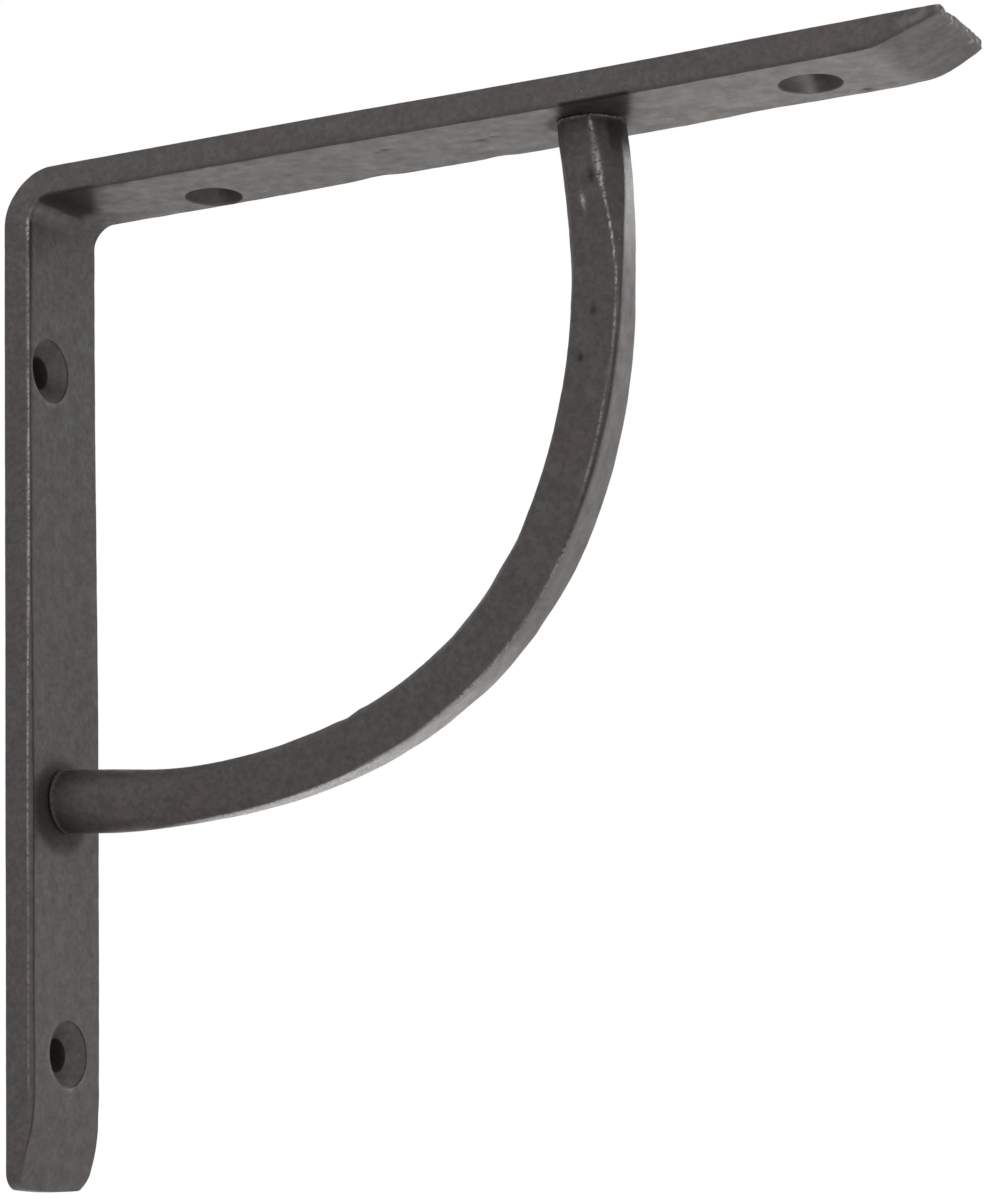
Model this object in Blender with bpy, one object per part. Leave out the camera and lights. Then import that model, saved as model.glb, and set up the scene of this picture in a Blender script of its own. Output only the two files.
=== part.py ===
"""A hand-forged iron shelf bracket: a flat bar bent square and a curved brace across its corner.

Units are metres. X points away from the wall, Y runs along the wall and Z points up.
The origin is on the wall face, at the middle of its width and half way up the bracket.
Each part is a loft: a row of closed sections along the line that the smith bent the iron to.
"""
import math

import bmesh
import bpy
from mathutils import Vector

# Overall sizes
HEIGHT = 0.1517
REACH = 0.150
TOP = HEIGHT / 2

# Flat bar
BAR_WIDTH = 0.0179
BAR_THICKNESS = 0.0046
BEND_RADIUS = 0.0083
BEND_SWELL = 0.0003
BACK_ARRIS = 0.0002
INNER_ARRIS = 0.0006
THIN_ARRIS_SHARE = 0.3
FACE_LINES = (-1.0, -0.55, -0.15, 0.2, 0.6, 1.0)
STATION_STEP = 0.004
BEND_STEPS = 9

# Thinned ends of the bar
FOOT_TAPER = 0.0112
FOOT_THICKNESS = 0.0021
FOOT_CORNER = 0.0020
TIP_TAPER = 0.0102
TIP_THICKNESS = 0.0015
TIP_CORNER = 0.0010
TIP_SLANT = 0.0005
END_STEPS = 7

# Screw holes, each (distance from the corner, distance off the bar's middle, width of its cone)
SCREW_BORE = 0.0048
SINK_DEPTH = 0.0023
WALL_HOLES = ((0.0300, -0.0034, 0.0100), (0.1319, 0.0006, 0.0103))
SHELF_HOLES = ((0.0288, 0.0044, 0.0095), (0.1270, 0.0009, 0.0098))
HOLE_SIDES = 32
CUT_SLACK = 0.001

# Brace
JOINT_GAP = 0.0003
BRACE_DROP = 0.0949
BRACE_REACH = 0.0938
WALL_HANDLE = 0.0563
SHELF_HANDLE = 0.0733
WALL_LEAN = 0.0055
SHELF_LEAN = 0.0088
END_RADIUS = 0.0047
WALL_BLEND = 0.17
SHELF_BLEND = 0.13
BODY_HALF_RADIAL = 0.00395
BODY_HALF_DEPTH = 0.0031
SHARP_CORNER = 0.0004
SOFT_CORNER = 0.0015
SHARPEST_AT = 0.65
SOFTENING = 2.2
CORNER_CUT = 0.42
BRACE_STATIONS = 46

# Unevenness left by the hammer: how deep, how long each wave is, and how far it starts along
EDGE_WAVE = 0.0001
EDGE_WAVE_LENGTH = 0.031
NEAR_EDGE_START = 0.4
FAR_EDGE_START = 2.6
FACE_WAVE = 0.00015
FACE_WAVE_LENGTH = 0.017
FACE_WAVE_SKEW = 0.011
FACE_WAVE_TURN = 5.0
FACE_FLAT_SHARE = 3.0
BRACE_WAVE = 0.00012
BRACE_WAVE_LENGTH = 0.083
BRACE_WAVE_TURN = 1.9
MAIN_SWING = 0.3
SECOND_SWING = 0.2
SECOND_PITCH = 1.7
SECOND_START = 1.3

# Blackened iron under wax: nearly black, satin
IRON_COLOUR = (0.078, 0.072, 0.068, 1.0)
BRACE_COLOUR = (0.070, 0.066, 0.064, 1.0)
IRON_METALLIC = 0.7
IRON_ROUGHNESS = 0.5

# Edges that turn further than this stay sharp
SMOOTH_ANGLE = math.radians(25)


def clear_scene():
    """Removes whatever the file already holds."""
    for item in list(bpy.data.objects):
        bpy.data.objects.remove(item)


def mix(first, second, share):
    """The value a share of the way from the first to the second."""
    return first + (second - first) * share


def smooth_step(share):
    """A share from 0 to 1, eased at both ends."""
    share = min(max(share, 0.0), 1.0)
    return share * share * (3 - 2 * share)


def wave(place, length, start):
    """A slow uneven wave from 0 to 1, as hammer blows leave it."""
    turn = 2 * math.pi * place / length + start
    swing = MAIN_SWING * math.sin(turn) + SECOND_SWING * math.sin(SECOND_PITCH * turn + SECOND_START)
    return 0.5 + swing


def iron(name, colour):
    """Waxed black iron: a dark metal with a satin skin."""
    material = bpy.data.materials.new(name)
    material.use_nodes = True
    shader = material.node_tree.nodes["Principled BSDF"]
    shader.inputs["Base Color"].default_value = colour
    shader.inputs["Metallic"].default_value = IRON_METALLIC
    shader.inputs["Roughness"].default_value = IRON_ROUGHNESS
    return material


def loft(name, rings, material):
    """A closed body through a row of rings that all have the same number of points."""
    body = bmesh.new()
    rows = [[body.verts.new(point) for point in ring] for ring in rings]
    count = len(rows[0])
    for row, following in zip(rows, rows[1:]):
        for k in range(count):
            after = (k + 1) % count
            body.faces.new((row[k], row[after], following[after], following[k]))
    body.faces.new(rows[0])
    body.faces.new(rows[-1])
    bmesh.ops.recalc_face_normals(body, faces=body.faces)
    mesh = bpy.data.meshes.new(name)
    body.to_mesh(mesh)
    body.free()
    mesh.shade_smooth()
    mesh.set_sharp_from_angle(angle=SMOOTH_ANGLE)
    mesh.materials.append(material)
    thing = bpy.data.objects.new(name, mesh)
    bpy.context.collection.objects.link(thing)
    return thing


# The flat bar, followed along its outer line: up the wall, round the bend, out under the shelf
WALL_RUN = HEIGHT - BEND_RADIUS
BEND_RUN = BEND_RADIUS * math.pi / 2
BAR_RUN = WALL_RUN + BEND_RUN + REACH - BEND_RADIUS


def bar_place(run):
    """The point of the outer line at a run from the foot, and the way into the bar there."""
    if run <= WALL_RUN:
        return Vector((0, 0, run - HEIGHT + TOP)), Vector((1, 0, 0))
    if run >= WALL_RUN + BEND_RUN:
        return Vector((BEND_RADIUS + run - WALL_RUN - BEND_RUN, 0, TOP)), Vector((0, 0, -1))
    turn = (run - WALL_RUN) / BEND_RADIUS
    inward = Vector((math.cos(turn), 0, -math.sin(turn)))
    return Vector((BEND_RADIUS, 0, TOP - BEND_RADIUS)) - BEND_RADIUS * inward, inward


def bar_thickness(run, across):
    """Thickness of the bar, thinned to both ends and swollen a little inside the bend.

    Across is -1 at the near edge of the bar and 1 at the far one. Each end thins evenly
    along the near edge, and in a curve that keeps more metal along the far one.
    """
    far = (across + 1) / 2
    turn = min(max((run - WALL_RUN) / BEND_RUN, 0.0), 1.0)
    thickness = BAR_THICKNESS + BEND_SWELL * math.sin(math.pi * turn) ** 2
    for left, taper, thin in ((run, FOOT_TAPER, FOOT_THICKNESS), (BAR_RUN - run, TIP_TAPER, TIP_THICKNESS)):
        if left < taper:
            share = left / taper
            share = mix(share, math.sin(share * math.pi / 2), far)
            thickness = mix(thin, BAR_THICKNESS, share)
    return thickness


def bar_half_width(run, start):
    """Half the bar's width, rounded off at the corners of both ends and a little uneven between."""
    half = BAR_WIDTH / 2 - EDGE_WAVE * wave(run, EDGE_WAVE_LENGTH, start)
    for left, corner in ((run, FOOT_CORNER), (BAR_RUN - run, TIP_CORNER)):
        if left < corner:
            half -= corner - math.sqrt(corner ** 2 - (corner - left) ** 2)
    return half


def face_dip(run, across):
    """How far a blow has dented the inner face, nothing along its two edges."""
    within = min(1.0, FACE_FLAT_SHARE * (1 - abs(across)))
    return FACE_WAVE * within * wave(run + FACE_WAVE_SKEW * across, FACE_WAVE_LENGTH, FACE_WAVE_TURN * across)


def bar_ring(run):
    """One section of the bar, its outer face flat and its inner face faintly hammered."""
    place, inward = bar_place(run)
    near = -bar_half_width(run, NEAR_EDGE_START)
    far = bar_half_width(run, FAR_EDGE_START)
    arris = min(INNER_ARRIS, THIN_ARRIS_SHARE * bar_thickness(run, 0))
    section = [(0, far - BACK_ARRIS), (0, near + BACK_ARRIS)]
    section += [(BACK_ARRIS, near), (bar_thickness(run, -1) - arris, near)]
    for across in FACE_LINES:
        side = mix(near + arris, far - arris, (across + 1) / 2)
        section.append((bar_thickness(run, across) - face_dip(run, across), side))
    section += [(bar_thickness(run, 1) - arris, far), (BACK_ARRIS, far)]
    slant = TIP_SLANT * max(0.0, 1 - (BAR_RUN - run) / TIP_TAPER) / BAR_WIDTH
    return [
        place + depth * inward + Vector((-slant * (side + BAR_WIDTH / 2), side, 0))
        for depth, side in section]


def bar_runs():
    """Where along the bar its sections stand: closer at the ends and round the bend."""
    foot = [FOOT_CORNER * (1 - math.cos(math.pi / 2 * k / END_STEPS)) for k in range(END_STEPS)]
    tip = [BAR_RUN - TIP_CORNER * (1 - math.cos(math.pi / 2 * k / END_STEPS)) for k in range(END_STEPS)]
    bend = [WALL_RUN + BEND_RUN * k / BEND_STEPS for k in range(BEND_STEPS + 1)]
    wall_steps = round((WALL_RUN - FOOT_CORNER) / STATION_STEP)
    wall = [mix(FOOT_CORNER, WALL_RUN, k / wall_steps) for k in range(wall_steps)]
    shelf_start = WALL_RUN + BEND_RUN
    shelf_end = BAR_RUN - TIP_CORNER
    shelf_steps = round((shelf_end - shelf_start) / STATION_STEP)
    shelf = [mix(shelf_start, shelf_end, k / shelf_steps) for k in range(1, shelf_steps + 1)]
    return foot + wall + bend + shelf + tip[:0:-1] + [BAR_RUN]


def screw_cutter(name, place, inward, width):
    """The shape that one countersunk hole takes out, a bore with a cone that opens on the inner face."""
    wide = width / 2
    narrow = SCREW_BORE / 2
    slope = (wide - narrow) / SINK_DEPTH
    profile = [
        (-CUT_SLACK, narrow),
        (BAR_THICKNESS - SINK_DEPTH, narrow),
        (BAR_THICKNESS, wide),
        (BAR_THICKNESS + CUT_SLACK, wide + slope * CUT_SLACK),
    ]
    sideways = Vector((0, 1, 0))
    upright = inward.cross(sideways)
    turns = [2 * math.pi * k / HOLE_SIDES for k in range(HOLE_SIDES)]
    rings = []
    for depth, radius in profile:
        rings.append([
            place + depth * inward + radius * (math.cos(turn) * sideways + math.sin(turn) * upright)
            for turn in turns])
    cutter = loft(name, rings, iron(name + "_iron", IRON_COLOUR))
    cutter.hide_render = True
    cutter.display_type = "WIRE"
    return cutter


def drill(bar):
    """Cuts two countersunk screw holes in each leg of the bar."""
    places = [(Vector((0, off, TOP - down)), Vector((1, 0, 0)), width) for down, off, width in WALL_HOLES]
    places += [(Vector((out, off, TOP)), Vector((0, 0, -1)), width) for out, off, width in SHELF_HOLES]
    for k, (place, inward, width) in enumerate(places):
        cut = bar.modifiers.new("screw_hole_%d" % (k + 1), "BOOLEAN")
        cut.operation = "DIFFERENCE"
        cut.solver = "EXACT"
        cut.object = screw_cutter("cutter_%d" % (k + 1), place, inward, width)


def make_bent_bar():
    """The flat bar: wall leg, rounded corner and shelf leg in one length, with its screw holes."""
    rings = [bar_ring(run) for run in bar_runs()]
    drill(loft("bent_bar", rings, iron("blackened_bar_iron", IRON_COLOUR)))


def brace_place(share):
    """The brace's middle line, a cubic curve from the wall leg to the shelf leg, and its way out."""
    inner_x = BAR_THICKNESS + JOINT_GAP
    inner_z = TOP - BAR_THICKNESS - JOINT_GAP
    ends = (
        Vector((inner_x, 0, TOP - BRACE_DROP)),
        Vector((inner_x + WALL_HANDLE, 0, TOP - BRACE_DROP - WALL_LEAN)),
        Vector((BRACE_REACH + SHELF_LEAN, 0, inner_z - SHELF_HANDLE)),
        Vector((BRACE_REACH, 0, inner_z)),
    )
    rest = 1 - share
    place = rest ** 3 * ends[0] + 3 * rest ** 2 * share * ends[1]
    place += 3 * rest * share ** 2 * ends[2] + share ** 3 * ends[3]
    way = rest ** 2 * (ends[1] - ends[0]) + 2 * rest * share * (ends[2] - ends[1])
    way += share ** 2 * (ends[3] - ends[2])
    if share == 0.0:
        way = Vector((1, 0, 0))
    elif share == 1.0:
        way = Vector((0, 0, 1))
    way.normalize()
    return place, Vector((way.z, 0, -way.x))


def brace_section(corner):
    """The brace's cut-corner section, each point its distance outward and its distance sideways."""
    radial = BODY_HALF_RADIAL
    depth = BODY_HALF_DEPTH
    cut = CORNER_CUT * corner
    quarter = [
        (radial, 0),
        (radial, (depth - corner) / 2),
        (radial, depth - corner),
        (radial - cut, depth - cut),
        (radial - corner, depth),
        ((radial - corner) / 2, depth),
    ]
    following = [(0, depth)] + quarter[:0:-1]
    section = quarter + [(-out, side) for out, side in following]
    section += [(-out, -side) for out, side in quarter]
    section += [(out, -side) for out, side in following]
    return section


def brace_ring(share):
    """One section of the brace: round at its ends, hammered to a bar with cut corners between."""
    place, outward = brace_place(share)
    roundness = max(1 - smooth_step(share / WALL_BLEND), 1 - smooth_step((1 - share) / SHELF_BLEND))
    corner = mix(SHARP_CORNER, SOFT_CORNER, smooth_step(SOFTENING * abs(share - SHARPEST_AT)))
    section = brace_section(corner)
    ring = []
    for k, (out, side) in enumerate(section):
        turn = 2 * math.pi * k / len(section)
        dent = BRACE_WAVE * wave(share, BRACE_WAVE_LENGTH, BRACE_WAVE_TURN * math.cos(turn)) * (1 - roundness)
        out = mix(out * (1 - dent / BODY_HALF_RADIAL), END_RADIUS * math.cos(turn), roundness)
        side = mix(side * (1 - dent / BODY_HALF_DEPTH), END_RADIUS * math.sin(turn), roundness)
        ring.append(place + out * outward + Vector((0, side, 0)))
    return ring


def make_curved_brace():
    """The brace, which leaves the wall leg level and meets the shelf leg from below."""
    rings = [brace_ring(k / BRACE_STATIONS) for k in range(BRACE_STATIONS + 1)]
    loft("curved_brace", rings, iron("blackened_brace_iron", BRACE_COLOUR))


clear_scene()
make_bent_bar()
make_curved_brace()
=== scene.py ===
"""Dresses the frame of a hand-forged iron shelf bracket: hammered meshes, waxed black iron, a plain studio.

Units are metres. X points away from the wall, Y runs along it and Z points up, as in the frame.
"Near" is the -Y side, which the main view shows, and "far" the other one.
"""
import math
from functools import partial
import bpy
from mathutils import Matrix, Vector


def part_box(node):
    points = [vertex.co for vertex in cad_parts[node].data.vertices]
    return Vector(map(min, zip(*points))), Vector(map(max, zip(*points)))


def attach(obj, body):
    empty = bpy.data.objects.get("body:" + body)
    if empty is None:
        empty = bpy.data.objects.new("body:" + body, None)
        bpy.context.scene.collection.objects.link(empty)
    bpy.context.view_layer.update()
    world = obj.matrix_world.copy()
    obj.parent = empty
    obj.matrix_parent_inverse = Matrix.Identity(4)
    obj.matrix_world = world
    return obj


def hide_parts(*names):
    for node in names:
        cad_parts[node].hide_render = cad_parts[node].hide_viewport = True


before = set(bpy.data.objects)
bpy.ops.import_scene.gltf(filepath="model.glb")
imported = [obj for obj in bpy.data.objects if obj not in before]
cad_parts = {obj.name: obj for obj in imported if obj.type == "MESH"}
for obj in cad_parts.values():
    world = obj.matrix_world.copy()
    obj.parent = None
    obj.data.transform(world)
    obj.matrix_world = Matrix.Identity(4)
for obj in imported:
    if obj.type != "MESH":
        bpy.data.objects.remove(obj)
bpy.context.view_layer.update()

from types import SimpleNamespace

import bmesh
import bpy
import numpy as np
from mathutils import Quaternion, Vector, noise

bl_info = {
    "name": "Forged Shelf Bracket",
    "version": (1, 0, 0),
    "blender": (4, 5, 0),
    "location": "View3D > Sidebar > Bracket",
    "description": "Models a hand-forged iron shelf bracket and a studio to show it in",
    "category": "Add Mesh",
}

MM = 0.001

# The bracket's own places, read from the frame
BAR_LOW, BAR_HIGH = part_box("bent_bar")
BRACE_LOW, BRACE_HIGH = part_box("curved_brace")
FOOT = BAR_LOW.z
TOP = BAR_HIGH.z
REACH = BAR_HIGH.x
HALF_WIDTH = BAR_HIGH.y

# Flat bar
BEND_RADIUS = 8.3 * MM
BEND_STEPS = 12
BEND_SWELL = 0.1 * MM
ARRIS = 0.55 * MM
ARRIS_ROUND = 0.09 * MM
END_ARRIS = 0.2 * MM
LEG_CUTS = 98
WIDTH_CUTS = 17
DEPTH_CUTS = 6
WALL_RUN = TOP - FOOT - BEND_RADIUS
BEND_RUN = BEND_RADIUS * math.pi / 2
BAR_RUN = WALL_RUN + BEND_RUN + REACH - BEND_RADIUS
SHELF_START = WALL_RUN + BEND_RUN - BEND_RADIUS
SAG = 0.3 * MM
SAG_AT = SHELF_START + 97 * MM
SAG_REACH = 28 * MM
OUTER_BEND_DIP = 0.22 * MM
OUTER_WAVE = 0.015 * MM
EDGE_WAVE = 0.06 * MM

# How much of the full arris is left: by the near inner edge, the far inner edge and both outer edges
NEAR_WALL_ARRIS = 1.0
NEAR_UPPER_ARRIS = 0.45
NEAR_SHELF_ARRIS = 0.3
FAR_WALL_ARRIS = 0.4
FAR_SHELF_ARRIS = 0.25
OUTER_EDGE_ARRIS = 0.12

# Thinned ends of the bar
FOOT_TAPER = 11.2 * MM
FOOT_CORNER = 2.3 * MM
FOOT_BELLY = 0.35 * MM
TIP_TAPER = 10.2 * MM
TIP_CORNER = 0.7 * MM
TIP_SLANT = 0.4 * MM
TIP_RAG = 0.15 * MM
TIP_FRAY = 0.12 * MM
TIP_NOTCH = 0.35 * MM
TIP_NOTCH_SIDE = -5.4 * MM
TIP_NOTCH_REACH = 1.8 * MM
TAPER_BLEND = 0.25 * MM

# Screw holes: distance from the corner, distance off the bar's middle, width of the cone
WALL_HOLES = ((30.0 * MM, -3.4 * MM, 10.2 * MM), (131.9 * MM, 0.6 * MM, 10.3 * MM))
SHELF_HOLES = ((28.8 * MM, 4.3 * MM, 9.2 * MM), (127.0 * MM, 0.9 * MM, 9.6 * MM))
SINK_DEPTH = 2.3 * MM
BORE_FLARE = 0.15 * MM
MOUTH_DEPTH = 0.25 * MM
MOUTH_SLOPE = 1.3
HOLE_SIDES = 64
BURR_RADIUS = 1.85 * MM
BURR_LENGTH = 0.3 * MM
CUTTER_TAIL = 2 * MM

# How dark the cones are painted with shade, and the painted reflection that lies as a bright streak in each
# cone under the shelf leg
WALL_CONE_SHADE = 0.12
SHELF_CONE_SHADE = 0.52
SHELF_CONE_REFLECTION = (0.15, 0.42)
CONE_REFLECTION_AT = -1.7 * MM
CONE_REFLECTION_REACH = 1.1 * MM

# Blows on the far edge and small dark pits in the inner face, in millimetres: distance from the foot or
# from the shelf leg's start, side, reach along, reach across, depth. Below 0 the bar is left thicker
WALL_BLOWS = ((65.0, 8.9, 46.0, 6.0, -0.33),)
SHELF_BLOWS = (
    (20.0, 8.9, 30.0, 5.0, -0.26), (54.7, 8.9, 3.2, 4.5, 0.26), (74.7, 8.9, 2.2, 4.0, 0.20),
    (118.0, 8.9, 9.0, 4.0, 0.22))
SHELF_PITS = (
    (62.0, -2.9, 1.1, 0.6, 0.12), (60.4, -2.2, 0.7, 0.5, 0.10), (76.0, 0.0, 1.6, 0.5, 0.12),
    (78.5, -0.6, 1.0, 0.5, 0.10), (132.7, 7.6, 1.0, 0.6, 0.25))

# How bright the wall leg's near inner edge is, rubbed iron and a painted highlight together, at distances
# from the foot in millimetres
WALL_WEAR_AND_HIGHLIGHT = (
    (0, 0.2), (20, 0.3), (45, 0.45), (75, 0.6), (88, 0.9), (125, 0.9), (133, 0.6), (135, 0.3),
    (139.8, 0.25), (141, 1))

# Painted shade on the bar round the brace's two ends, with a painted shadow of the brace under the shelf
# leg. Each reach runs from where the shade ends to where it is full
WALL_JOINT_SHADE_OFF = (-1.2 * MM, -0.8 * MM)
WALL_JOINT_SHADE_REACH = (8.2 * MM, 5.8 * MM)
SHELF_SHADOW_SLANT = 0.47
SHELF_SHADOW_OFF = 0.46 * MM
SHELF_SHADOW_REACH = (6.3 * MM, 4.9 * MM)
SHELF_RING_SHADE_OFF = -0.7 * MM
SHELF_RING_SHADE_REACH = (6.5 * MM, 5.3 * MM)

# Painted shade in the corner: how far out it reaches under the shelf leg, and how that line slants across
# the bar
CORNER_SHADE = 10.2 * MM
CORNER_SHADE_SLANT = 0.62

# Brace: its middle line is a cubic curve
BRACE_DROP = 94.9 * MM
BRACE_REACH = 93.8 * MM
WALL_HANDLE = 56.3 * MM
SHELF_HANDLE = 73.3 * MM
WALL_LEAN = 5.5 * MM
SHELF_LEAN = 8.8 * MM
BRACE_STATIONS = 220
BRACE_ROUND = 28
COLLAR = 0.14 * MM
CONTACT = 0.42 * MM
WALL_END_LIFT = 0.2 * MM

# The higher, the crisper the arrises between the flats
CRISPNESS = 46.0

# How far round the brace one radian takes the marks on it
TURN_ARC = 4 * MM

# Half the width of the pale outer flat, at distances along the brace from the wall, in millimetres
OUTER_FLAT = (
    (0, 0.2), (24, 0.4), (38, 1.3), (60, 1.8), (78, 2.2), (96, 2.9), (108, 2.7),
    (121, 2.5), (127, 2.3), (133, 1.75), (136, 1.5), (141, 0.7), (146, 0.35), (153, 0.2))

# Height of the near arris above the middle line, at the same kind of distances
NEAR_ARRIS = (
    (90, 3.4), (106, 3.1), (118, 3.3), (126, 3.6), (131, 3.4), (137, 2.8), (143, 2.05), (153, 1.5))

# Sooty pits in the brace, then blows and the swellings beside them, in millimetres: distance from the
# wall, turn from the outer side in degrees, reach along, reach round, depth
BRACE_PITS = ((143.8, 80, 1.8, 1.1, 0.14), (124.6, 90, 1.6, 1.2, 0.12), (117.9, 116, 1.4, 1.1, 0.10))
BRACE_BLOWS = (
    (108.0, 80, 2.4, 1.4, 0.08), (50.3, 160, 1.2, 3.5, 0.16), (53.0, 160, 1.0, 3.0, -0.08),
    (72.0, 180, 3.0, 4.0, 0.14), (84.4, 180, 2.0, 4.0, -0.08), (90.0, 180, 2.5, 4.0, 0.12),
    (82.0, 0, 2.0, 4.0, 0.10), (78.7, 0, 1.6, 4.0, -0.06), (71.7, 0, 2.2, 4.0, -0.10),
    (65.1, 0, 2.5, 4.0, 0.14))
BRACE_BLOW_UNITS = (MM, 1, MM, MM, MM)

# Patterns in the scale, each by the size of its lumps, its detail and its roughness: the warm and cool
# patches, the mottling, the dark speckle and the grit. Real grit is nearer 0.1 mm, too fine to show in
# the render, so it is drawn at 0.45 mm
SCALE_PATTERNS = ((8 * MM, 3.0, 0.6), (2.4 * MM, 4.0, 0.62), (0.9 * MM, 3.0, 0.65), (0.45 * MM, 2.0, 0.5))
STREAK_SIZE = (9 * MM, 0.8 * MM, 0.8 * MM)
RELIEF = 0.06 * MM

# Where the photograph was taken from
VIEW_TARGET = Vector((0.0761, 0.0, 0.0039))
VIEW_DISTANCE = 0.5422
VIEW_AZIMUTH = math.radians(26.778)
VIEW_ELEVATION = math.radians(-10.444)
VIEW_ROLL = math.radians(-1.428)
VIEW_LENS = 115.6
VIEW_SENSOR = 36

FLOOR_Z = -0.14
FLOOR_SIZE = 6.0
LAMP_PLACE = (0.55, -0.12, 0.02)
LAMP_SIZE = 0.3


def linear(channel):
    """One sRGB channel from 0 to 1, made linear."""
    return channel / 12.92 if channel <= 0.04045 else ((channel + 0.055) / 1.055) ** 2.4


def hex_colour(text):
    """The linear colour of an sRGB hex value."""
    return tuple(linear(int(text[k:k + 2], 16) / 255) for k in (0, 2, 4)) + (1.0,)


def colour_property(name, description, text):
    """A colour that a user can change, given as sRGB hex."""
    return bpy.props.FloatVectorProperty(
        name=name, description=description, subtype="COLOR", size=4, min=0, max=1, default=hex_colour(text))


def length_property(name, description, value):
    """A length that a user can change."""
    return bpy.props.FloatProperty(
        name=name, description=description, unit="LENGTH", precision=5, min=0, default=value)


def factor_property(name, description, value, most=1.0):
    """A share or strength that a user can change."""
    return bpy.props.FloatProperty(
        name=name, description=description, subtype="FACTOR", min=0, max=most, default=value)


class BarSettings(bpy.types.PropertyGroup):
    """Sizes of the flat bar."""
    thickness: length_property("Thickness", "Thickness of the bar between its ends", 4.6 * MM)
    foot_thickness: length_property("Foot thickness", "Thickness at the foot of the wall leg", 2.1 * MM)
    tip_thickness: length_property("Tip thickness", "Thickness at the tip of the shelf leg", 1.25 * MM)
    bore: length_property("Screw bore", "Width of the screw holes", 4.8 * MM)
    dents: length_property("Hammer dents", "Depth of the hammer dents in the inner face", 0.1 * MM)


class BraceSettings(bpy.types.PropertyGroup):
    """Sizes of the curved brace."""
    end_radius: length_property("End radius", "Radius of the round ends", 4.7 * MM)
    half_radial: length_property("Half height", "Half the body's size across the curve", 3.95 * MM)
    half_depth: length_property("Half depth", "Half the body's size along the wall", 3.1 * MM)
    dents: length_property("Hammer dents", "Depth of the hammer dents", 0.1 * MM)


class IronSettings(bpy.types.PropertyGroup):
    """Colours and gloss of the waxed black iron."""
    scale_colour: colour_property("Forge scale", "Black iron oxide under wax", "403B3A")
    warm_colour: colour_property("Warm scale", "Patches where brown oxide shows through", "4B423F")
    cool_colour: colour_property("Cool scale", "Patches of grey-green scale", "444542")
    speckle_colour: colour_property("Dark speckle", "Fine dark grain in the scale", "252221")
    # The dressed colour also paints painted sheen: painted reflections under the shelf leg, on the brace's
    # outer flat and in two cones, faint painted light and a painted highlight in the bend
    dressed_and_sheen_colour: colour_property("Dressed iron", "Paler iron where the scale came off", "A9A6A3")
    # The bare colour also paints painted highlights: along the near arrises, the brace's glint and the lower
    # rims of the holes
    bare_and_highlight_colour: colour_property("Bare iron", "Iron rubbed bright on the arrises", "D6D6D5")
    # The soot colour also paints painted shade: in the bores, cones, corner and creases, round the brace's
    # ends, and the brace's painted shadow under the shelf leg
    soot_and_shade_colour: colour_property("Soot", "Wax and soot in corners and bores", "120D0A")
    roughness: factor_property("Roughness", "Roughness of the waxed scale", 0.46)
    # Wear scales both the rubbed iron and the painted highlights
    wear_and_highlight: factor_property("Wear", "How much the arrises are rubbed bright", 0.9)


class StudioSettings(bpy.types.PropertyGroup):
    """Floor, backdrop and light."""
    floor_colour: colour_property("Floor", "Pale floor", "F2F1EF")
    backdrop_colour: colour_property("Backdrop", "White surroundings", "FFFFFF")
    brightness: factor_property("Brightness", "Strength of the white surroundings", 1.0, 4.0)
    side_light: factor_property("Side light", "Watts of the soft light on the right", 0.35, 10.0)


# Small helpers for the mesh work

def deselect_all():
    """Leaves nothing selected, so that an operator acts on the new piece alone."""
    bpy.ops.object.select_all(action="DESELECT")


def pick(kind, test):
    """In edit mode, selects only the edges or faces for which the test holds."""
    bpy.ops.mesh.select_mode(type=kind)
    bpy.ops.mesh.select_all(action="DESELECT")
    mesh = bpy.context.edit_object.data
    body = bmesh.from_edit_mesh(mesh)
    for part in (body.edges if kind == "EDGE" else body.faces):
        part.select_set(bool(test(part)))
    body.select_flush_mode()
    bmesh.update_edit_mesh(mesh)


def edge_way(edge):
    """The unit direction of an edge and its length."""
    span = edge.verts[1].co - edge.verts[0].co
    return span.normalized(), span.length


def apply_modifier(thing, kind, **settings):
    """Adds a modifier with its settings and applies it."""
    bpy.context.view_layer.objects.active = thing
    modifier = thing.modifiers.new(kind.lower(), kind)
    for name, value in settings.items():
        setattr(modifier, name, value)
    bpy.ops.object.modifier_apply(modifier=modifier.name)


def get_points(thing, kind="co"):
    """The piece's points as rows of x, y, z, or with "normal" the way its surface faces at each."""
    flat = np.empty(len(thing.data.vertices) * 3)
    thing.data.vertices.foreach_get(kind, flat)
    return flat.reshape(-1, 3)


def set_points(thing, points):
    """Moves the piece's points to these places."""
    thing.data.vertices.foreach_set("co", np.ascontiguousarray(points).ravel())
    thing.data.update()


def set_value(thing, name, values):
    """Stores one number from 0 to 1 for each point, which a material can read."""
    stored = thing.data.attributes.new(name, "FLOAT", "POINT")
    stored.data.foreach_set("value", np.ascontiguousarray(np.clip(values, 0, 1), dtype=np.float32))


def set_vector(thing, name, values):
    """Stores one vector for each point, which a material can read."""
    stored = thing.data.attributes.new(name, "FLOAT_VECTOR", "POINT")
    stored.data.foreach_set("vector", np.ascontiguousarray(values, dtype=np.float32).ravel())


def lumps(places, size, seed):
    """Smooth unevenness from about -1 to 1, with lumps of that size."""
    shift = Vector((seed * 7.3, seed * 3.1, seed * 5.7))
    scaled = np.asarray(places) / size
    return np.array([noise.noise(Vector(place) + shift) for place in scaled])


def lumps_along(run, size, seed):
    """Unevenness that changes only along a bar."""
    return lumps(np.column_stack((run, run * 0, run * 0)), size, seed)


def ease(value, start, end):
    """From 0 at the start to 1 at the end, eased at both."""
    share = np.clip((value - start) / (end - start), 0, 1)
    return share * share * (3 - 2 * share)


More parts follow.
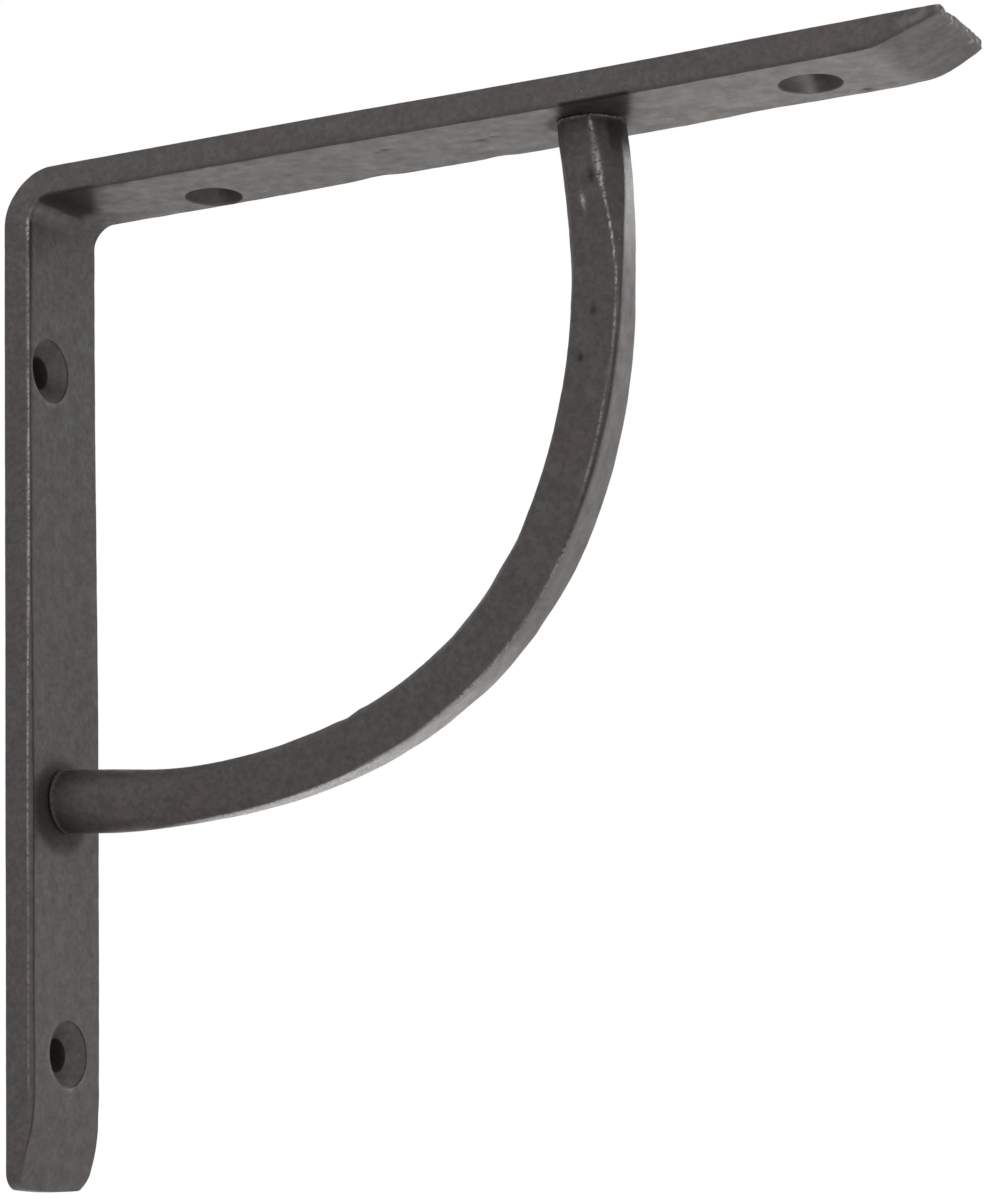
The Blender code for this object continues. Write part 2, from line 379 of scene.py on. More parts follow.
def bump(value, centre, reach):
    """1 at the centre, fading to nothing beyond the reach."""
    return np.exp(-((value - centre) / reach) ** 2)


def table(value, rows, unit=MM):
    """Reads a value from rows of two numbers, straight between them: millimetres, then that unit."""
    places, results = np.array(rows).T
    return np.interp(value, places * MM, results * unit)


# The flat bar, in its own coordinates: run along its outer line, side across it, depth into it

def to_bar(points):
    """Turns places into run, side and depth on the bar."""
    x, y, z = points.T
    centre_x = BEND_RADIUS
    centre_z = TOP - BEND_RADIUS
    shelf = x >= centre_x
    bend = ~shelf & (z > centre_z)
    turn = np.arctan2(z - centre_z, centre_x - x)
    radius = np.hypot(z - centre_z, centre_x - x)
    run = np.where(bend, WALL_RUN + BEND_RADIUS * turn, z - FOOT)
    run = np.where(shelf, WALL_RUN + BEND_RUN + x - centre_x, run)
    depth = np.where(bend, BEND_RADIUS - radius, x)
    depth = np.where(shelf, TOP - z, depth)
    return run, y.copy(), depth


def from_bar(run, side, depth):
    """Turns run, side and depth on the bar back into places."""
    centre_x = BEND_RADIUS
    centre_z = TOP - BEND_RADIUS
    turn = np.clip((run - WALL_RUN) / BEND_RADIUS, 0, math.pi / 2)
    before = np.minimum(run - WALL_RUN, 0)
    after = np.maximum(run - WALL_RUN - BEND_RUN, 0)
    radius = BEND_RADIUS - depth
    x = centre_x - radius * np.cos(turn) + after
    z = centre_z + radius * np.sin(turn) + before
    return np.column_stack((x, side, z))


def add_bar_blank(bar):
    """Square stock for the bar: a box up the wall, turned round the corner and drawn out."""
    deselect_all()
    middle = (bar.thickness / 2, 0, FOOT + WALL_RUN / 2)
    bpy.ops.mesh.primitive_cube_add(size=1, location=middle, scale=(bar.thickness, 2 * HALF_WIDTH, WALL_RUN))
    blank = bpy.context.object
    blank.name = "forged_bar"
    bpy.ops.object.transform_apply(location=True, rotation=False, scale=True)
    bpy.ops.object.mode_set(mode="EDIT")
    pick("FACE", lambda face: face.normal.z > 0.9)
    bpy.ops.mesh.spin(
        steps=BEND_STEPS, angle=-math.pi / 2, center=(BEND_RADIUS, 0, TOP - BEND_RADIUS), axis=(0, 1, 0))
    bpy.ops.mesh.extrude_region_move(TRANSFORM_OT_translate={"value": (REACH - BEND_RADIUS, 0, 0)})
    bpy.ops.mesh.select_all(action="SELECT")
    bpy.ops.mesh.remove_doubles(threshold=0.01 * MM)
    bpy.ops.mesh.normals_make_consistent(inside=False)
    bevel_bar_arrises()
    divide_bar(bar)
    bpy.ops.object.mode_set(mode="OBJECT")
    apply_modifier(blank, "SUBSURF", subdivision_type="SIMPLE", levels=1, render_levels=1)
    return blank


def at_bar_end(edge):
    """Whether an edge lies in the flat end of the foot or of the tip."""
    low = all(vert.co.z < FOOT + 0.01 * MM for vert in edge.verts)
    out = all(vert.co.x > REACH - 0.01 * MM for vert in edge.verts)
    return low or out


def bevel_bar_arrises():
    """Cuts the long edges to flat chamfers, rounds the chamfers' own edges and breaks the ends."""
    def long_edge(least, most):
        def test(edge):
            sharp = least < edge.calc_face_angle(0) < most
            return sharp and abs(edge_way(edge)[0].y) < 0.1 and not at_bar_end(edge)
        return test

    pick("EDGE", long_edge(1.0, 2.0))
    bpy.ops.mesh.bevel(offset=ARRIS, segments=1, affect="EDGES")
    pick("EDGE", long_edge(0.6, 1.0))
    bpy.ops.mesh.bevel(offset=ARRIS_ROUND, segments=2, affect="EDGES")
    pick("EDGE", lambda edge: at_bar_end(edge) and edge.calc_face_angle(0) > 1)
    bpy.ops.mesh.bevel(offset=END_ARRIS, segments=2, affect="EDGES")


def divide_bar(bar):
    """Cuts the blank's long faces into stations, and its faces across and in depth."""
    pick("EDGE", lambda edge: edge_way(edge)[1] > WALL_RUN / 2)
    bpy.ops.mesh.subdivide(number_cuts=LEG_CUTS)
    pick("EDGE", lambda edge: abs(edge_way(edge)[0].y) > 0.9 and edge_way(edge)[1] > HALF_WIDTH)
    bpy.ops.mesh.subdivide(number_cuts=WIDTH_CUTS)

    def in_depth(edge):
        way, length = edge_way(edge)
        return abs(way.y) < 0.1 and 0.65 * bar.thickness < length < bar.thickness

    pick("EDGE", in_depth)
    bpy.ops.mesh.subdivide(number_cuts=DEPTH_CUTS)


def bar_thickness(run, across, bar):
    """Thickness of the bar, thinned to both ends and swollen a little inside the bend."""
    far = (across + 1) / 2
    turn = np.clip((run - WALL_RUN) / BEND_RUN, 0, 1)
    thickness = bar.thickness + BEND_SWELL * np.sin(math.pi * turn) ** 2
    ends = ((run, FOOT_TAPER, bar.foot_thickness), (BAR_RUN - run, TIP_TAPER, bar.tip_thickness))
    for left, taper, thin in ends:
        share = np.maximum(left / taper, 0)
        curved = np.sin(np.minimum(share, 1) * math.pi / 2) + np.maximum(share - 1, 0)
        drawn = thin + (bar.thickness - thin) * (share + (curved - share) * far)
        thickness = thickness - TAPER_BLEND * np.logaddexp(0, (thickness - drawn) / TAPER_BLEND)
    return thickness


def round_end(left, side, corner):
    """Rounds the square corners of one end, given how far each point is from that end."""
    over = np.clip(np.abs(side) - (HALF_WIDTH - corner), 0, corner)
    short = np.clip(corner - left, 0, corner)
    new_over = over * np.sqrt(1 - short ** 2 / (2 * corner ** 2))
    new_short = short * np.sqrt(1 - over ** 2 / (2 * corner ** 2))
    return left + short - new_short, np.sign(side) * (np.abs(side) - over + new_over)


def squeeze(away, share):
    """Narrows an arris to a share of its width, for points at a distance from the face beside it."""
    beyond = share * ARRIS + (away - ARRIS) * (2 - share)
    return np.where(away < ARRIS, away * share, np.where(away < 2 * ARRIS, beyond, away))


def arris_shares(run):
    """How much of the full arris the near and the far inner edge keep along the bar."""
    shelf = ease(run, WALL_RUN + 0.3 * BEND_RUN, WALL_RUN + BEND_RUN)
    foot = ease(run, 9 * MM, 5 * MM)
    wall = NEAR_WALL_ARRIS + (NEAR_UPPER_ARRIS - NEAR_WALL_ARRIS) * ease(run, 55 * MM, 105 * MM)
    near = wall + (NEAR_SHELF_ARRIS - wall) * np.maximum(shelf, foot)
    far = FAR_WALL_ARRIS + (FAR_SHELF_ARRIS - FAR_WALL_ARRIS) * shelf
    return near, far


def narrow_arrises(run, side, depth, bar):
    """Draws the four long arrises in to the widths that the photograph shows."""
    near, far = arris_shares(run)
    inside = depth > bar.thickness / 2
    near_share = np.where(inside, near, OUTER_EDGE_ARRIS)
    far_share = np.where(inside, far, OUTER_EDGE_ARRIS)
    inner_share = np.where(side < 0, near, far)
    new_side = squeeze(side + HALF_WIDTH, near_share) - HALF_WIDTH
    new_side = HALF_WIDTH - squeeze(HALF_WIDTH - new_side, far_share)
    new_depth = squeeze(depth, OUTER_EDGE_ARRIS)
    new_depth = bar.thickness - squeeze(bar.thickness - new_depth, inner_share)
    return new_side, new_depth


def hammer_bar(blank, bar):
    """Moves the blank's points as the hammer left them: thinned ends, dents, wavy edges, a ragged tip."""
    run, side, depth = to_bar(get_points(blank))
    side, depth = narrow_arrises(run, side, depth, bar)
    across = side / HALF_WIDTH
    inside = np.clip(depth / bar.thickness, 0, 1)
    flat = np.column_stack((run, side, np.zeros_like(run)))
    line = np.column_stack((run, np.sign(side) * HALF_WIDTH, np.zeros_like(run)))

    depth = depth * bar_thickness(run, across, bar) / bar.thickness
    dip = bar.dents * (0.5 + 0.5 * lumps(flat, 9 * MM, 1)) + 0.5 * bar.dents * lumps(flat, 3.5 * MM, 2)
    dip = np.maximum(dip, 0)
    for start, rows in ((0, WALL_BLOWS), (SHELF_START, SHELF_BLOWS + SHELF_PITS)):
        for out, off, along, wide, deep in np.array(rows) * MM:
            dip = dip + deep * bump(run, start + out, along) * bump(side, off, wide)
    depth = depth - dip * inside
    turn = np.clip((run - WALL_RUN) / BEND_RUN, 0, 1)
    outer = OUTER_WAVE * (1 + lumps(flat, 12 * MM, 3)) + OUTER_BEND_DIP * np.sin(math.pi * turn) ** 2
    depth = depth + outer * (1 - inside)
    depth = depth + SAG * bump(run, SAG_AT, SAG_REACH)
    side = side - np.sign(side) * EDGE_WAVE * (0.4 + 0.6 * lumps(line, 11 * MM, 4)) * np.abs(across)

    left, side = round_end(run, side, FOOT_CORNER)
    belly = FOOT_BELLY * across ** 2 * ease(run, 4 * MM, 0)
    run = np.where(run < FOOT_CORNER, left, run) + belly
    left, side = round_end(BAR_RUN - run, side, TIP_CORNER)
    run = np.where(BAR_RUN - run < TIP_CORNER, BAR_RUN - left, run)
    near_tip = ease(BAR_RUN - run, TIP_TAPER, 0)
    ragged = 0.6 * lumps(flat * (0, 1, 0), 3.2 * MM, 5) + 0.4 * lumps(flat * (0, 1, 0), 1.3 * MM, 6)
    rag = TIP_RAG * (1 + ragged) + TIP_NOTCH * bump(side, TIP_NOTCH_SIDE, TIP_NOTCH_REACH)
    rag = rag + TIP_FRAY * lumps(np.column_stack((side, depth, depth * 0)), 0.8 * MM, 8)
    run = run - near_tip * (TIP_SLANT * (across + 1) / 2 + np.maximum(rag, 0))

    low, high = np.array(BAR_LOW), np.array(BAR_HIGH)
    points = np.clip(from_bar(run, side, depth), low, high)
    set_points(blank, points)
    grit = 0.02 * MM * lumps(points, 1.3 * MM, 6) + 0.01 * MM * lumps(points, 0.7 * MM, 7)
    points = get_points(blank) + get_points(blank, "normal") * grit[:, None]
    set_points(blank, np.clip(points, low, high))


def add_hole_cutter(place, turn, width, bar):
    """The shape of one countersunk hole: a bore with a burr at its far end, a cone and a worn mouth."""
    height = BURR_LENGTH
    radius = BURR_RADIUS
    start = bar.thickness - SINK_DEPTH
    rings = (
        (start, bar.bore / 2),
        (start + BORE_FLARE, bar.bore / 2 + BORE_FLARE),
        (bar.thickness - MOUTH_DEPTH, width / 2 - MOUTH_SLOPE * MOUTH_DEPTH),
        (bar.thickness + MM, width / 2),
    )
    bpy.ops.mesh.primitive_cylinder_add(
        vertices=HOLE_SIDES, radius=radius, depth=CUTTER_TAIL, location=(0, 0, height - CUTTER_TAIL / 2))
    cutter = bpy.context.object
    bpy.ops.object.transform_apply(location=True, rotation=False, scale=False)
    bpy.ops.object.mode_set(mode="EDIT")
    pick("FACE", lambda face: face.normal.z > 0.9)
    for new_height, new_radius in rings:
        bpy.ops.mesh.extrude_region_move(TRANSFORM_OT_translate={"value": (0, 0, new_height - height)})
        share = new_radius / radius
        bpy.ops.transform.resize(value=(share, share, 1), center_override=(0, 0, new_height))
        height = new_height
        radius = new_radius
    bpy.ops.object.mode_set(mode="OBJECT")
    cutter.rotation_euler = turn
    cutter.location = place
    bpy.ops.object.transform_apply(location=True, rotation=True, scale=False)
    return cutter


def drill_bar(blank, bar):
    """Cuts the four countersunk screw holes."""
    deselect_all()
    cutters = []
    for drop, off, width in WALL_HOLES:
        cutters.append(add_hole_cutter((0, off, TOP - drop), (0, math.pi / 2, 0), width, bar))
    for out, off, width in SHELF_HOLES:
        cutters.append(add_hole_cutter((out, off, TOP), (math.pi, 0, 0), width, bar))
    deselect_all()
    for cutter in cutters:
        cutter.select_set(True)
    bpy.context.view_layer.objects.active = cutters[0]
    bpy.ops.object.join()
    apply_modifier(blank, "BOOLEAN", operation="DIFFERENCE", solver="EXACT", object=cutters[0])
    bpy.data.objects.remove(cutters[0])


def mark_bar(blank, bar):
    """Stores where the bar is rubbed bright or carries painted highlights, where it is dressed or carries
    painted sheen, where it is sooty or painted with shade, and how it runs.
    """
    points = get_points(blank)
    run, side, depth = to_bar(points)
    inner = bar_thickness(run, side / HALF_WIDTH, bar) - depth + SAG * bump(run, SAG_AT, SAG_REACH)
    at = SimpleNamespace(
        points=points, run=run, side=side, inner=inner, near=side + HALF_WIDTH,
        arris=ARRIS * arris_shares(run)[0],
        wall=1 - ease(run, WALL_RUN, WALL_RUN + 3 * MM),
        upper=bump(run, WALL_RUN - 2 * MM, 7 * MM),
        face=inner < 0.6 * MM,
        near_side=side + HALF_WIDTH < 0.2 * MM)
    soot_and_shade, wear_and_highlight, pale_and_sheen = hole_marks(points, bar)
    set_value(blank, "wear_and_highlight", np.maximum(bar_wear_and_highlight(at), wear_and_highlight))
    set_value(blank, "soot_and_shade", np.maximum(bar_soot_and_shade(at), soot_and_shade))
    set_value(blank, "dressed_and_sheen", np.maximum(bar_dressing_and_sheen(at), pale_and_sheen))
    set_vector(blank, "grain", np.column_stack((run, side, depth)))


def bar_wear_and_highlight(at):
    """Bright metal and a painted highlight: a broken line along the wall leg's near arris, rubbed iron and
    painted highlight together, and flecks on the torn tip.
    """
    foot = ease(at.run, 8 * MM, 13 * MM)
    uneven = 0.62 + 0.45 * lumps_along(at.run, 7 * MM, 21) + 0.45 * lumps_along(at.run, 2 * MM, 22)
    # The bright line along the near arris is rubbed iron and a painted highlight
    line = bump(at.near, 0, 0.1 * MM) * bump(at.inner, at.arris + 0.1 * MM, (0.11 + 0.14 * at.upper) * MM)
    curl = 0.2 * ease(at.run, WALL_RUN + 0.68 * BEND_RUN, WALL_RUN + 0.4 * BEND_RUN)
    line = line * np.maximum(at.wall, curl) * foot * np.clip(uneven, 0.2, 1) * table(at.run, WALL_WEAR_AND_HIGHLIGHT, 1)
    flecks = ease(lumps(at.points, 0.9 * MM, 24), 0.1, 0.5)
    torn = 0.5 * flecks * ease(at.points[:, 0], REACH - 1.3 * MM, REACH - 0.5 * MM)
    return np.maximum(line, torn)


def bar_soot_and_shade(at):
    """Dark marks: a dark line by the near arris, painted shade round the brace's ends with a painted shadow
    of the brace under the shelf leg, painted shade in the corner and along the shelf leg's near edge, soot
    in the pits, and the shelf leg's near side darker towards its lower edge.
    """
    x, y, z = at.points.T
    crease = bump(at.near, at.arris + 0.06 * MM, (0.13 + 0.2 * at.upper) * MM) * (at.inner < 0.35 * MM)
    crease = crease * at.wall * ease(at.run, 1 * MM, 6 * MM) * (0.72 + 0.1 * at.upper)
    # Painted shade round the brace's end on the wall leg
    off_y, off_z = WALL_JOINT_SHADE_OFF
    joint_shade = ease(np.hypot(y - off_y, z - (TOP - BRACE_DROP) - off_z), *WALL_JOINT_SHADE_REACH)
    joint_shade = 0.6 * joint_shade * (at.run < WALL_RUN)
    # A painted shadow of the brace across the shelf leg's underside, and a ring of painted shade round its
    # end
    out = x - BRACE_REACH
    brace_shadow = ease(np.abs(out + SHELF_SHADOW_SLANT * at.side - SHELF_SHADOW_OFF), *SHELF_SHADOW_REACH)
    brace_shadow = brace_shadow * ease(at.side, 2.5 * MM, -1 * MM)
    ring_shade = ease(np.hypot(at.side, out - SHELF_RING_SHADE_OFF), *SHELF_RING_SHADE_REACH)
    joint_shade = np.maximum(joint_shade, np.maximum(0.93 * brace_shadow, 0.6 * ring_shade) * (at.run > WALL_RUN))
    # Painted shade in the corner under the shelf leg
    bend = ease(at.run, WALL_RUN + 0.54 * BEND_RUN, WALL_RUN + 0.68 * BEND_RUN)
    reach = SHELF_START + CORNER_SHADE - CORNER_SHADE_SLANT * at.side
    corner = 0.78 * bend * ease(at.run, reach + 1.2 * MM, reach - 0.8 * MM)
    corner = corner * ease(at.side, 4 * MM, 0.5 * MM)
    # Painted shade in ragged blots along the shelf leg's near edge
    shade_blots = ease(lumps_along(at.run, 4 * MM, 23), -0.1, 0.4)
    early = ease(at.run, SHELF_START + 60 * MM, SHELF_START + 30 * MM)
    edge = 0.35 * bump(at.near, 0, 1.1 * MM * (0.2 + shade_blots * early)) * (1 - at.wall)
    pits = np.zeros(len(at.run))
    for along, across, length, width, _ in np.array(SHELF_PITS) * MM:
        pit = 0.7 * bump(at.run, SHELF_START + along, length * 0.8) * bump(at.side, across, width * 0.8)
        pits = np.maximum(pits, pit)
    on_face = np.maximum.reduce((joint_shade, corner, edge, pits)) * at.face
    # The shelf leg's near side darker towards its lower edge
    lower_side = 0.14 * ease(at.inner, 1.6 * MM, 0.1 * MM) * at.near_side * (1 - at.wall)
    return np.maximum.reduce((crease, on_face, lower_side))


def bar_dressing_and_sheen(at):
    """Paler iron and painted light: paler iron with a painted reflection under the shelf leg, brighter
    towards the tip, faint painted light low on the inner face and on the shelf leg's near side, paler iron
    on the near side of the tip, a painted highlight along the bend line and a rubbed patch below the bend.
    """
    # Paler iron with a painted reflection under the shelf leg, brighter outwards and dimmer on the thinned
    # tip
    under = ease(at.run, WALL_RUN + BEND_RUN, WALL_RUN + BEND_RUN + 9 * MM)
    outward = 0.52 + 0.48 * ease(at.run, SHELF_START + 50 * MM, SHELF_START + 125 * MM)
    before_tip = 1 - 0.6 * ease(at.run, BAR_RUN - TIP_TAPER - MM, BAR_RUN - TIP_TAPER + 2 * MM)
    inner_face = ease(at.inner, 0.5 * MM, 0.1 * MM) * ease(at.near, at.arris * 0.7, at.arris + 0.2 * MM)
    underside_pale_and_sheen = 0.34 * under * outward * before_tip * inner_face
    # Faint painted light low on the wall leg's inner face and on the shelf leg's near side
    faint_light = 0.04 * ease(at.run, 80 * MM, 40 * MM) * inner_face + 0.045 * at.near_side * (1 - at.wall)
    tip = 0.22 * ease(at.run, BAR_RUN - 8 * MM, BAR_RUN - 4.5 * MM) * at.near_side
    tip = tip * ease(lumps(at.points, 1.4 * MM, 25), -0.4, 0.3)
    # A painted highlight along the bend line
    bend = 0.1 * bump(at.run, WALL_RUN + 0.4 * BEND_RUN, 1.2 * MM) * ease(at.side, 2 * MM, -2 * MM) * at.face
    rubbed = 0.2 * bump(at.run, WALL_RUN - 6 * MM, 3.5 * MM) * at.near_side
    rubbed = rubbed * ease(at.inner, 2.5 * MM, 0.5 * MM) * ease(lumps(at.points, 1.1 * MM, 26), -0.1, 0.4)
    return np.maximum.reduce((underside_pale_and_sheen, faint_light, tip, bend, rubbed))


def hole_marks(points, bar):
    """Painted shade in the bores and the cones, a bright rim on the lower side of each mouth, rubbed iron
    and painted highlight, and painted reflections as bright streaks in two cones.
    """
    soot_and_shade = np.zeros(len(points))
    wear_and_highlight = np.zeros(len(points))
    pale_and_sheen = np.zeros(len(points))
    x, y, z = points.T
    holes = [(z - (TOP - drop), y - off, x, width, WALL_CONE_SHADE, 0) for drop, off, width in WALL_HOLES]
    for (out, off, width), reflection_share in zip(SHELF_HOLES, SHELF_CONE_REFLECTION):
        holes.append((x - out, y - off, TOP - z, width, SHELF_CONE_SHADE, reflection_share))
    start = bar.thickness - SINK_DEPTH
    for along, across, depth, width, dark, reflection_share in holes:
        away = np.hypot(along, across)
        radius = np.interp(
            depth, (BURR_LENGTH, start, bar.thickness), (BURR_RADIUS, bar.bore / 2, width / 2))
        inside = (away < radius + 0.12 * MM) & (depth > -MM) & (depth < bar.thickness - 0.15 * MM)
        # Painted shade: the bores black and the cones darker; a painted reflection lies as a bright streak
        # in two cones
        bore = ease(depth, start + 0.12 * MM, start - 0.05 * MM)
        reflection = bump(along, CONE_REFLECTION_AT, CONE_REFLECTION_REACH)
        cone_shade = dark * (1 - 2 * reflection_share * reflection)
        soot_and_shade = np.maximum(soot_and_shade, np.where(inside, cone_shade + (1 - cone_shade) * bore, 0))
        pale_and_sheen = np.maximum(pale_and_sheen, np.where(inside, reflection_share * reflection * (1 - bore), 0))
        # A bright rim on the lower side of each mouth: rubbed iron and a painted highlight
        rim = bump(away, width / 2, 0.14 * MM) * (np.abs(depth - bar.thickness) < 0.5 * MM)
        lit_low_side = ease(-along - 0.5 * across, -2 * MM, 4 * MM)
        wear_and_highlight = np.maximum(wear_and_highlight, 0.16 * rim * lit_low_side)
    return soot_and_shade, wear_and_highlight, pale_and_sheen


# The curved brace, in its own coordinates: run along its middle line, a turn round it from its outer side

def brace_ends():
    """The middle line's two ends and two handles."""
    start = Vector((BRACE_LOW.x, 0, TOP - BRACE_DROP))
    end = Vector((BRACE_REACH, 0, BRACE_HIGH.z))
    return (
        start, start + Vector((WALL_HANDLE, 0, -WALL_LEAN)),
        end + Vector((SHELF_LEAN, 0, -SHELF_HANDLE)), end)


def brace_line(share):
    """Places on the middle line, and the way it runs there."""
    a, b, c, d = (np.array(end) for end in brace_ends())
    t = np.asarray(share)[:, None]
    place = (1 - t) ** 3 * a + 3 * (1 - t) ** 2 * t * b + 3 * (1 - t) * t ** 2 * c + t ** 3 * d
    way = 3 * (1 - t) ** 2 * (b - a) + 6 * (1 - t) * t * (c - b) + 3 * t ** 2 * (d - c)
    return place, way


def to_brace(points):
    """Turns places into a share of the brace, a turn round it and a distance from its middle line."""
    shares = np.linspace(0, 1, 400)
    line = brace_line(shares)[0]
    nearest = np.empty(len(points))
    for start in range(0, len(points), 5000):
        block = points[start:start + 5000]
        apart = ((block[:, None, (0, 2)] - line[None, :, (0, 2)]) ** 2).sum(2)
        nearest[start:start + 5000] = shares[apart.argmin(1)]
    for _ in range(4):
        place, way = brace_line(nearest)
        gap = points - place
        gap[:, 1] = 0
        nearest = np.clip(nearest + (gap * way).sum(1) / (way ** 2).sum(1), 0, 1)
    place, way = brace_line(nearest)
    way = way / np.linalg.norm(way, axis=1)[:, None]
    gap = points - place
    outward = gap[:, 0] * way[:, 2] - gap[:, 2] * way[:, 0]
    return nearest, np.arctan2(-gap[:, 1], outward), np.hypot(outward, gap[:, 1])


def run_of(shares):
    """Distance along the middle line from the wall."""
    steps = np.linspace(0, 1, 801)
    line = brace_line(steps)[0]
    lengths = np.concatenate(([0], np.cumsum(np.linalg.norm(np.diff(line, axis=0), axis=1))))
    return np.interp(shares, steps, lengths)


def brace_length():
    """Length of the middle line."""
    return run_of(np.array([1.0]))[0]


def from_brace(share, turn, away):
    """Turns a share of the brace, a turn round it and a distance from its middle line into places."""
    place, way = brace_line(share)
    way = way / np.linalg.norm(way, axis=1)[:, None]
    out = away * np.cos(turn)
    return place + np.column_stack((out * way[:, 2], -away * np.sin(turn), -out * way[:, 0]))


def round_from(turn, degrees):
    """Distance round the brace from a place given in degrees, the shorter way."""
    return np.angle(np.exp(1j * (turn - math.radians(degrees)))) * TURN_ARC


def add_brace_blank(brace):
    """Round stock for the brace: a curve with a round section, made a mesh."""
    deselect_all()
    bpy.ops.curve.primitive_bezier_curve_add()
    blank = bpy.context.object
    blank.name = "forged_brace"
    start, start_handle, end_handle, end = brace_ends()
    first, last = blank.data.splines[0].bezier_points
    for point in (first, last):
        point.handle_left_type = point.handle_right_type = "FREE"
    first.co, first.handle_right, first.handle_left = start, start_handle, start * 2 - start_handle
    last.co, last.handle_left, last.handle_right = end, end_handle, end * 2 - end_handle
    blank.data.resolution_u = BRACE_STATIONS
    blank.data.bevel_depth = brace.end_radius
    blank.data.bevel_resolution = BRACE_ROUND
    blank.data.use_fill_caps = True
    bpy.ops.object.convert(target="MESH")
    bpy.ops.object.mode_set(mode="EDIT")
    bpy.ops.mesh.select_all(action="SELECT")
    bpy.ops.mesh.remove_doubles(threshold=0.001 * MM)
    bpy.ops.mesh.normals_make_consistent(inside=False)
    bpy.ops.object.mode_set(mode="OBJECT")
    apply_modifier(blank, "SUBSURF", levels=1, render_levels=1)
    return blank


def shelf_swell(run):
    """How far the section has swollen towards the shelf end, from 0 to 1."""
    return ease(brace_length() - run, 26 * MM, 2 * MM)


def brace_section(run, brace):
    """How far the skin lies from the middle line: on the outer side, the inner side and sideways."""
    shelf = shelf_swell(run)
    out = brace.half_radial + 0.4 * MM * shelf + 0.15 * MM * bump(run, 121 * MM, 12 * MM)
    inner = brace.half_radial + 0.55 * MM * shelf + 0.25 * MM * bump(run, 103 * MM, 14 * MM)
    side = brace.half_depth + 1.1 * MM * shelf
    return out, inner, side


def brace_facets(run, brace):
    """The flats that the hammer left: for each, the way it faces and its distance from the middle line."""
    out, inner, side = brace_section(run, brace)
    strip = table(run, OUTER_FLAT)
    arris = table(run, NEAR_ARRIS)
    upper = ease(run, 84 * MM, 97 * MM)
    tilt = math.radians(10) * (1 - upper)
    tilted = np.clip(out * np.sin(tilt) + strip * np.cos(tilt), 2.3 * MM, side + 0.3 * MM)
    near = tilted + (side - tilted) * upper
    slope = np.arctan2(out - arris, side - strip)
    wedge = math.radians(45) * (1 - upper) + slope * upper
    wedge_away = out * np.cos(wedge) + strip * np.sin(wedge) - 0.08 * MM * (1 - upper)
    chamfer = math.radians(48)
    soft = 0.5 * MM + 1.0 * MM * ease(np.abs(run / brace_length() - 0.65), 0, 0.45)
    cut = (side - soft) * math.sin(chamfer)
    return (
        (0, out),
        (math.pi / 2 - tilt, near),
        (-math.pi / 2, side),
        (math.pi, inner),
        (wedge, wedge_away),
        (-chamfer, out * math.cos(chamfer) + cut),
        (math.pi - chamfer, inner * math.cos(chamfer) + cut),
        (chamfer - math.pi, inner * math.cos(chamfer) + cut),
    )


def hammer_brace(blank, brace):
    """Turns the round stock into the hammered brace, with flats between two round ends."""
    share, turn, away = to_brace(get_points(blank))
    run = run_of(share)
    length = brace_length()
    total = np.zeros(len(run))
    for facing, distance in brace_facets(run, brace):
        total += (np.maximum(np.cos(turn - facing), 0) / distance) ** CRISPNESS
    flats = total ** (-1 / CRISPNESS)
    roundness = np.maximum(ease(run, 26 * MM, 6 * MM), 0.35 * shelf_swell(run))
    radius = flats + (brace.end_radius - flats) * roundness
    around = np.column_stack((run, 8 * MM * np.cos(turn), 8 * MM * np.sin(turn)))
    dents = brace.dents * (0.6 * lumps(around, 7 * MM, 11) + 0.4 * lumps(around, 3 * MM, 12))
    radius = radius + dents * (1 - 0.5 * roundness)
    for out, degrees, along, wide, deep in np.array(BRACE_PITS + BRACE_BLOWS) * BRACE_BLOW_UNITS:
        radius = radius - deep * bump(run, out, along) * bump(round_from(turn, degrees), 0, wide)
    collar = np.maximum(bump(run, 0.5 * MM, 0.3 * MM), bump(run, length - 0.5 * MM, 0.3 * MM))
    radius = (radius + COLLAR * collar) * away / brace.end_radius
    points = from_brace(share, turn, radius)

    # Both ends are turned flush with the bar and pressed a little into it
    way = brace_line(share)[1]
    lean = (radius * np.cos(turn) / np.linalg.norm(way, axis=1))[:, None] * way
    points[:, 0] -= (CONTACT + lean[:, 2]) * ease(run, 3 * MM, 0)
    points[:, 2] += (CONTACT + lean[:, 0]) * ease(length - run, 3 * MM, 0)
    points[:, 2] += WALL_END_LIFT * ease(run, 22 * MM, 5 * MM)
    set_points(blank, points)
    grit = 0.02 * MM * lumps(points, 1.1 * MM, 13) + 0.012 * MM * lumps(points, 0.6 * MM, 14)
    set_points(blank, get_points(blank) + get_points(blank, "normal") * grit[:, None])
    return run, turn, away / brace.end_radius


def mark_brace(blank, brace, run, turn, level):
    """Stores where the brace is rubbed bright or carries painted highlights, where it is dressed or carries
    painted sheen, where it is sooty or painted with shade, and how it runs.
    """
    out, _, side = brace_section(run, brace)
    arris = table(run, NEAR_ARRIS)
    left = brace_length() - run
    from_strip = (turn - np.arctan2(table(run, OUTER_FLAT), out)) * out
    at = SimpleNamespace(
        run=run, turn=turn, left=left, from_strip=from_strip,
        from_arris=(turn - np.arctan2(side, arris)) * np.hypot(side, arris),
        strip=ease(from_strip, 0.25 * MM, -0.05 * MM) * (turn > -1.2),
        rings=np.maximum(bump(run, 0.6 * MM, 0.16 * MM), bump(left, 0.6 * MM, 0.16 * MM)))
    set_value(blank, "wear_and_highlight", brace_wear_and_highlight(at) * (level > 0.9))
    set_value(blank, "soot_and_shade", brace_soot_and_shade(at, get_points(blank)))
    set_value(blank, "dressed_and_sheen", brace_dressing_and_sheen(at))
    set_vector(blank, "grain", np.column_stack((run, turn * TURN_ARC, level * MM)))


